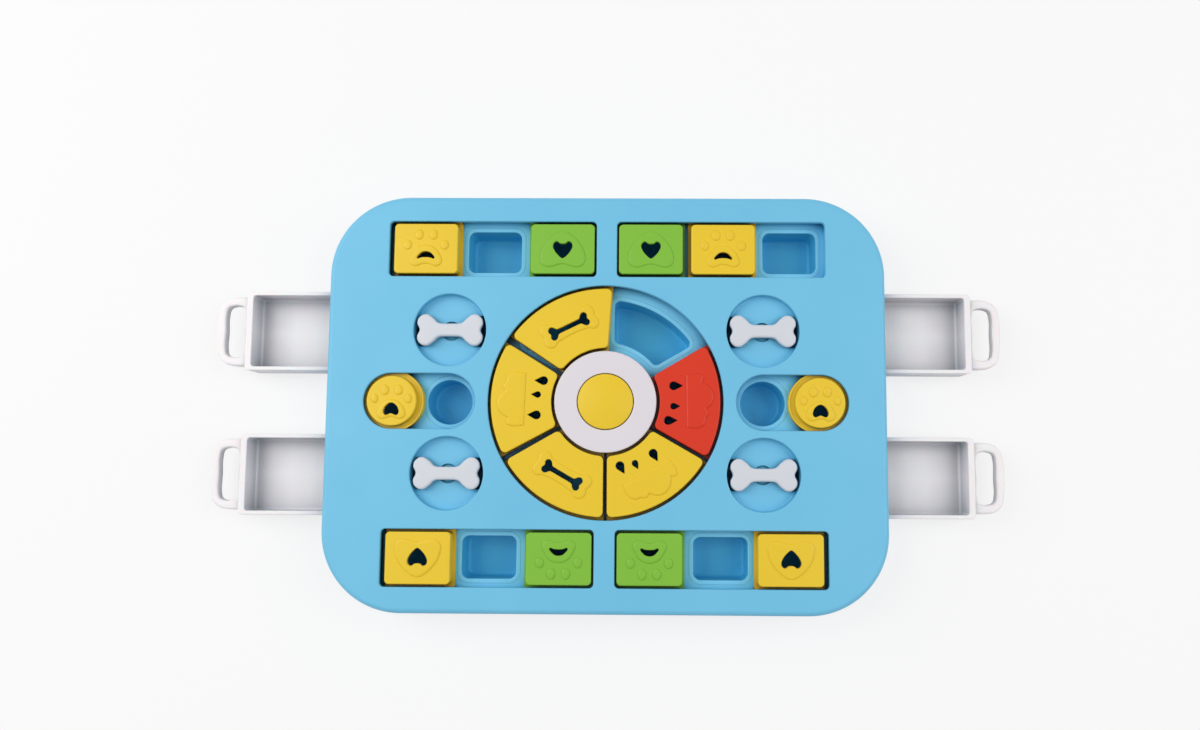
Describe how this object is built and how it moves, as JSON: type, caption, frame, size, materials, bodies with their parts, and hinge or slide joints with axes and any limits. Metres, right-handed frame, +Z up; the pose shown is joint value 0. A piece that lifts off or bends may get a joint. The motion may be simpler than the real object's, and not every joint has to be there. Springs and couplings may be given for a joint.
{
  "type": "dog puzzle feeder",
  "caption": "Dog puzzle feeder board with sliding and turning covers over treat wells, turning bones, a squeaker press button and pull-out treat drawers.",
  "frame": {"origin": "on the floor under the middle of the board", "axes": "+X to the board's right, along its length; +Y to its back edge; +Z up"},
  "size_m": [0.562, 0.291, 0.0423],
  "materials": {
    "deck_blue": "satin moulded ABS",
    "yellow_abs": "satin moulded ABS",
    "green_abs": "satin moulded ABS",
    "red_abs": "satin moulded ABS",
    "white_abs": "satin moulded ABS",
    "frosted_pp": "frosted polypropylene",
    "soft_white": "soft moulded vinyl",
    "foot_rubber": "matt rubber",
    "screw_steel": "zinc-plated steel"
  },
  "bodies": {
    "board": {"top_deck": "deck_blue", "bottom_plate": "deck_blue", "rubber_feet": "foot_rubber", "base_screws": "screw_steel", "tray_screws": "screw_steel", "tray_rear_left": "deck_blue", "tray_rear_right": "deck_blue", "tray_front_left": "deck_blue", "tray_front_right": "deck_blue", "round_tray_left": "deck_blue", "round_tray_right": "deck_blue", "wells_rear_left": "deck_blue", "wells_rear_right": "deck_blue", "wells_front_left": "deck_blue", "wells_front_right": "deck_blue", "round_wells_left": "deck_blue", "round_wells_right": "deck_blue", "wheel_tray": "deck_blue", "wheel_wells": "deck_blue", "hub_ring": "white_abs", "hub_ring_screws": "screw_steel", "squeaker_bellows": "soft_white", "squeaker_reed": "white_abs"},
    "cover_rear_left_yellow": {"cover_rear_left_yellow": "yellow_abs"},
    "cover_rear_left_green": {"cover_rear_left_green": "green_abs"},
    "cover_rear_right_green": {"cover_rear_right_green": "green_abs"},
    "cover_rear_right_yellow": {"cover_rear_right_yellow": "yellow_abs"},
    "cover_front_left_yellow": {"cover_front_left_yellow": "yellow_abs"},
    "cover_front_left_green": {"cover_front_left_green": "green_abs"},
    "cover_front_right_green": {"cover_front_right_green": "green_abs"},
    "cover_front_right_yellow": {"cover_front_right_yellow": "yellow_abs"},
    "round_cover_left": {"round_cover_left": "yellow_abs"},
    "round_cover_right": {"round_cover_right": "yellow_abs"},
    "bone_rear_left": {"bone_rear_left": "white_abs", "bone_pivot_rear_left": "screw_steel"},
    "bone_rear_right": {"bone_rear_right": "white_abs", "bone_pivot_rear_right": "screw_steel"},
    "bone_front_left": {"bone_front_left": "white_abs", "bone_pivot_front_left": "screw_steel"},
    "bone_front_right": {"bone_front_right": "white_abs", "bone_pivot_front_right": "screw_steel"},
    "wheel_cover_bone_rear": {"wheel_cover_bone_rear": "yellow_abs"},
    "wheel_cover_melon_left": {"wheel_cover_melon_left": "yellow_abs"},
    "wheel_cover_bone_front": {"wheel_cover_bone_front": "yellow_abs"},
    "wheel_cover_melon_front": {"wheel_cover_melon_front": "yellow_abs"},
    "wheel_cover_red": {"wheel_cover_red": "red_abs"},
    "hub_button": {"hub_button": "yellow_abs"},
    "drawer_rear_left": {"drawer_rear_left": "frosted_pp"},
    "drawer_rear_right": {"drawer_rear_right": "frosted_pp"},
    "drawer_front_left": {"drawer_front_left": "frosted_pp"},
    "drawer_front_right": {"drawer_front_right": "frosted_pp"}
  },
  "joints": [
    {"name": "cover_rear_left_yellow_slide", "type": "slide", "parent": "board", "child": "cover_rear_left_yellow", "axis": [1, 0, 0], "range_m": [-0.0024, 0.0476]},
    {"name": "cover_rear_left_green_slide", "type": "slide", "parent": "board", "child": "cover_rear_left_green", "axis": [1, 0, 0], "range_m": [-0.0476, 0.0003]},
    {"name": "cover_rear_right_green_slide", "type": "slide", "parent": "board", "child": "cover_rear_right_green", "axis": [1, 0, 0], "range_m": [0, 0.0481]},
    {"name": "cover_rear_right_yellow_slide", "type": "slide", "parent": "board", "child": "cover_rear_right_yellow", "axis": [1, 0, 0], "range_m": [0, 0.0481]},
    {"name": "cover_front_left_yellow_slide", "type": "slide", "parent": "board", "child": "cover_front_left_yellow", "axis": [1, 0, 0], "range_m": [-0.0024, 0.0476]},
    {"name": "cover_front_left_green_slide", "type": "slide", "parent": "board", "child": "cover_front_left_green", "axis": [1, 0, 0], "range_m": [-0.0476, 0.0003]},
    {"name": "cover_front_right_green_slide", "type": "slide", "parent": "board", "child": "cover_front_right_green", "axis": [1, 0, 0], "range_m": [-0.0003, 0.0476]},
    {"name": "cover_front_right_yellow_slide", "type": "slide", "parent": "board", "child": "cover_front_right_yellow", "axis": [1, 0, 0], "range_m": [-0.0476, 0.0024]},
    {"name": "round_cover_left_slide", "type": "slide", "parent": "board", "child": "round_cover_left", "axis": [1, 0, 0], "range_m": [-0.0005, 0.0385]},
    {"name": "round_cover_right_slide", "type": "slide", "parent": "board", "child": "round_cover_right", "axis": [1, 0, 0], "range_m": [-0.0385, 0.0005]},
    {"name": "bone_rear_left_turn", "type": "hinge", "parent": "board", "child": "bone_rear_left", "pos_m": [-0.10931, 0.05, 0.038], "axis": [0, 0, 1], "continuous": true},
    {"name": "bone_rear_right_turn", "type": "hinge", "parent": "board", "child": "bone_rear_right", "pos_m": [0.10931, 0.05, 0.038], "axis": [0, 0, 1], "continuous": true},
    {"name": "bone_front_left_turn", "type": "hinge", "parent": "board", "child": "bone_front_left", "pos_m": [-0.10931, -0.05, 0.038], "axis": [0, 0, 1], "continuous": true},
    {"name": "bone_front_right_turn", "type": "hinge", "parent": "board", "child": "bone_front_right", "pos_m": [0.10931, -0.05, 0.038], "axis": [0, 0, 1], "continuous": true},
    {"name": "wheel_cover_bone_rear_turn", "type": "hinge", "parent": "board", "child": "wheel_cover_bone_rear", "pos_m": [0, 0, 0.038], "axis": [0, 0, 1], "range_deg": [-55, 0]},
    {"name": "wheel_cover_melon_left_turn", "type": "hinge", "parent": "board", "child": "wheel_cover_melon_left", "pos_m": [0, 0, 0.038], "axis": [0, 0, 1], "range_deg": [-55, 0]},
    {"name": "wheel_cover_bone_front_turn", "type": "hinge", "parent": "board", "child": "wheel_cover_bone_front", "pos_m": [0, 0, 0.038], "axis": [0, 0, 1], "range_deg": [-55, 0]},
    {"name": "wheel_cover_melon_front_turn", "type": "hinge", "parent": "board", "child": "wheel_cover_melon_front", "pos_m": [0, 0, 0.038], "axis": [0, 0, 1], "range_deg": [-55, 0]},
    {"name": "wheel_cover_red_turn", "type": "hinge", "parent": "board", "child": "wheel_cover_red", "pos_m": [0, 0, 0.038], "axis": [0, 0, 1], "range_deg": [0, 55]},
    {"name": "hub_button_press", "type": "slide", "parent": "board", "child": "hub_button", "axis": [0, 0, 1], "range_m": [-0.003, 0], "stiffness_N_per_m": 800, "springref_m": 0.001, "deforming": ["squeaker_bellows"]},
    {"name": "drawer_rear_left_slide", "type": "slide", "parent": "board", "child": "drawer_rear_left", "axis": [1, 0, 0], "range_m": [-0.0202, 0.064]},
    {"name": "drawer_rear_right_slide", "type": "slide", "parent": "board", "child": "drawer_rear_right", "axis": [1, 0, 0], "range_m": [-0.064, 0.0202]},
    {"name": "drawer_front_left_slide", "type": "slide", "parent": "board", "child": "drawer_front_left", "axis": [1, 0, 0], "range_m": [-0.0202, 0.064]},
    {"name": "drawer_front_right_slide", "type": "slide", "parent": "board", "child": "drawer_front_right", "axis": [1, 0, 0], "range_m": [-0.064, 0.0202]}
  ],
  "couplings": [
    {"joint": "cover_rear_right_green_slide", "follows": "cover_rear_right_yellow_slide", "ratio": 1},
    {"joint": "wheel_cover_melon_left_turn", "follows": "wheel_cover_bone_rear_turn", "ratio": 1},
    {"joint": "wheel_cover_bone_front_turn", "follows": "wheel_cover_bone_rear_turn", "ratio": 1},
    {"joint": "wheel_cover_melon_front_turn", "follows": "wheel_cover_bone_rear_turn", "ratio": 1}
  ]
}
